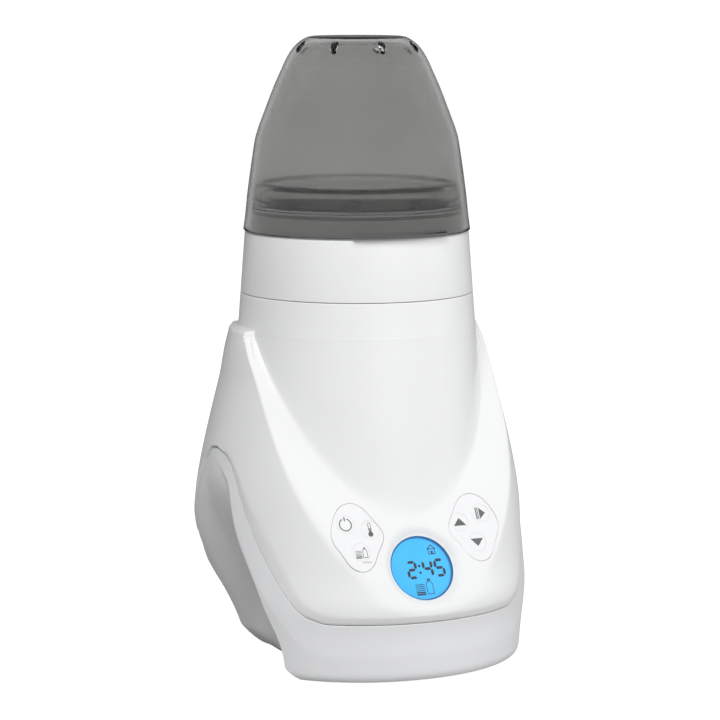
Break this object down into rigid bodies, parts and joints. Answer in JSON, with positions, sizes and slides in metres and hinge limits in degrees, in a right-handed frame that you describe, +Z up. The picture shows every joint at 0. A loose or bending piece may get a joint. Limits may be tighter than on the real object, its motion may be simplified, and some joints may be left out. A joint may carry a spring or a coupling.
{
  "type": "bottle warmer",
  "caption": "Electric baby-bottle warmer: round tower with smoke-grey steam hood, oval base with inclined key and display panel, side grips and rear water tank",
  "frame": {"origin": "on the surface it stands on, at the centre of its footprint box, under the warming chamber axis", "axes": "+Z up, -Y is the front with the display, +X is to the right seen from the front"},
  "size_m": [0.1402, 0.1624, 0.277],
  "materials": {
    "white_shell": "glossy white moulded ABS",
    "white_base": "glossy white moulded ABS, a touch greyer",
    "smoke_hood": "clear smoke-grey moulding",
    "smoke_ring": "dark smoke-grey moulding",
    "white_insert": "satin white polypropylene",
    "key_white": "satin white keypad",
    "stainless": "drawn stainless steel",
    "aluminium_plate": "cast aluminium",
    "element_sheath": "heat-darkened sheath",
    "zinc_screw": "bright zinc plate",
    "black_rubber": "black rubber",
    "silicone": "translucent silicone",
    "lens_clear": "clear acrylic window",
    "lcd_blue": "blue backlit liquid-crystal panel",
    "backlight_white": "white light guide",
    "black_plastic": "black engineering plastic",
    "ceramic_body": "glazed ceramic",
    "circuit_board": "green solder mask",
    "ribbon": "grey ribbon cable",
    "smoke_tank": "clear smoke-grey moulding",
    "grey_cover": "fine textured grey plastic"
  },
  "bodies": {
    "base": {"main_housing": "white_shell", "lower_base": "white_base", "upper_collar": "white_shell", "chamber": "stainless", "chamber_gasket": "silicone", "heat_shield": "stainless", "heater_plate": "aluminium_plate", "heating_element": "element_sheath", "heater_screws": "zinc_screw", "thermostat": "black_plastic", "thermal_fuse": "ceramic_body", "display_lens": "lens_clear", "lcd_panel": "lcd_blue", "backlight": "backlight_white", "display_holder": "black_plastic", "control_board": "circuit_board", "key_switches": "black_plastic", "controller_chip": "black_plastic", "board_screws": "zinc_screw", "left_keypad": "key_white", "right_keypad": "key_white", "ribbon_cable": "ribbon", "power_board": "circuit_board", "power_parts": "black_plastic", "buzzer": "black_plastic", "tank_dock": "white_insert", "dock_seal": "silicone", "feed_tube": "silicone", "cord_bushing": "black_rubber", "bottom_cover": "grey_cover", "base_screws": "zinc_screw", "feet": "black_rubber"},
    "hood": {"hood": "smoke_hood"},
    "adapter": {"adapter_ring": "smoke_ring"},
    "basket": {"basket": "white_insert"},
    "tank": {"water_tank": "smoke_tank", "lid_pin": "zinc_screw", "valve_spring": "zinc_screw"},
    "lid": {"tank_lid": "smoke_tank"},
    "valve": {"valve_stem": "white_insert", "valve_seal": "silicone"},
    "power_key_body": {"power_key": "key_white"},
    "temperature_key_body": {"temperature_key": "key_white"},
    "bottle_key_body": {"bottle_key": "key_white"},
    "up_key_body": {"up_key": "key_white"},
    "start_key_body": {"start_key": "key_white"},
    "down_key_body": {"down_key": "key_white"}
  },
  "joints": [
    {"name": "hood_lift", "type": "slide", "parent": "base", "child": "hood", "axis": [0, 0, 1], "range_m": [0, 0.25]},
    {"name": "ring_lift", "type": "slide", "parent": "base", "child": "adapter", "axis": [0, 0, 1], "range_m": [0, 0.175]},
    {"name": "basket_lift", "type": "slide", "parent": "base", "child": "basket", "axis": [0, 0, 1], "range_m": [0, 0.105]},
    {"name": "tank_lift", "type": "slide", "parent": "base", "child": "tank", "axis": [0, 0, 1], "range_m": [0, 0.13]},
    {"name": "lid_hinge", "type": "hinge", "parent": "tank", "child": "lid", "pos_m": [0, 0.0764, 0.1433], "axis": [-1, 0, 0], "range_deg": [0, 100]},
    {"name": "valve_travel", "type": "slide", "parent": "tank", "child": "valve", "axis": [0, 0, -1], "range_m": [0, 0.0024], "deforming": ["valve_spring"]},
    {"name": "power_key_press", "type": "slide", "parent": "base", "child": "power_key_body", "axis": [0, 0.866, -0.5], "range_m": [0, 0.0005], "stiffness_N_per_m": 900},
    {"name": "temperature_key_press", "type": "slide", "parent": "base", "child": "temperature_key_body", "axis": [0, 0.866, -0.5], "range_m": [0, 0.0005], "stiffness_N_per_m": 900},
    {"name": "bottle_key_press", "type": "slide", "parent": "base", "child": "bottle_key_body", "axis": [0, 0.866, -0.5], "range_m": [0, 0.0005], "stiffness_N_per_m": 900},
    {"name": "up_key_press", "type": "slide", "parent": "base", "child": "up_key_body", "axis": [0, 0.866, -0.5], "range_m": [0, 0.0005], "stiffness_N_per_m": 900},
    {"name": "start_key_press", "type": "slide", "parent": "base", "child": "start_key_body", "axis": [0, 0.866, -0.5], "range_m": [0, 0.0005], "stiffness_N_per_m": 900},
    {"name": "down_key_press", "type": "slide", "parent": "base", "child": "down_key_body", "axis": [0, 0.866, -0.5], "range_m": [0, 0.0005], "stiffness_N_per_m": 900}
  ],
  "couplings": [
    {"joint": "ring_lift", "follows": "hood_lift", "ratio": 0.7},
    {"joint": "basket_lift", "follows": "hood_lift", "ratio": 0.42},
    {"joint": "valve_travel", "follows": "tank_lift", "ratio": 0.0184}
  ]
}
